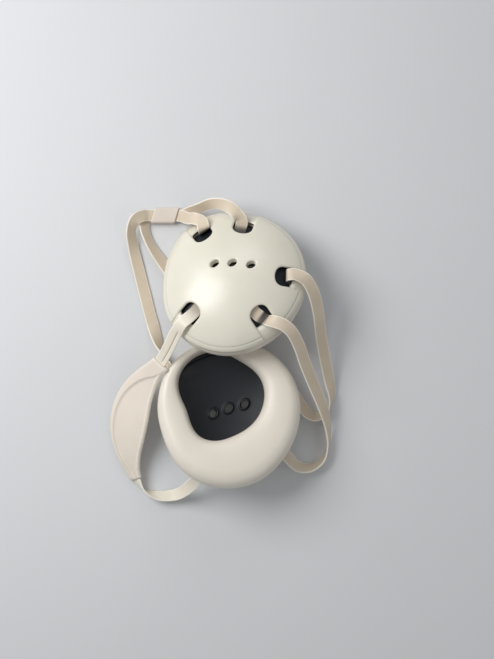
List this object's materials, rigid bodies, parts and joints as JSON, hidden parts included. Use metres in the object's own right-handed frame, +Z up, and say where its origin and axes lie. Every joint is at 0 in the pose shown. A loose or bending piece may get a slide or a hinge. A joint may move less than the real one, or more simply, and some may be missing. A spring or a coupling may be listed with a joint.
{
  "type": "head guard",
  "caption": "Wrestling head guard lying flat: domed ear cups with ring pads, joined by crown, rear and chin straps with a keeper and a chin pad.",
  "frame": {"origin": "on the supporting surface, under the middle of the bounding box of the guard as it lies", "axes": "+Z up from the surface; +Y towards the cup that lies with its dome up; +X towards the two rear straps"},
  "size_m": [0.1857, 0.2475, 0.0646],
  "materials": {
    "shell": "semi-gloss moulded ivory",
    "liner": "matt near-black foam lining",
    "pad": "smooth skinned foam, ivory",
    "strap": "satin coated webbing, warm cream",
    "chin_pad": "smooth skinned foam, warm cream",
    "keeper": "semi-gloss moulded cream"
  },
  "bodies": {
    "root": {"left_shell": "shell", "left_liner": "liner", "left_pad": "pad", "right_shell": "shell", "right_liner": "liner", "right_pad": "pad", "crown_strap_front": "strap", "crown_strap_rear": "strap", "rear_strap_upper": "strap", "rear_strap_lower": "strap", "chin_strap": "strap", "chin_pad": "chin_pad", "crown_keeper": "keeper"}
  },
  "joints": []
}
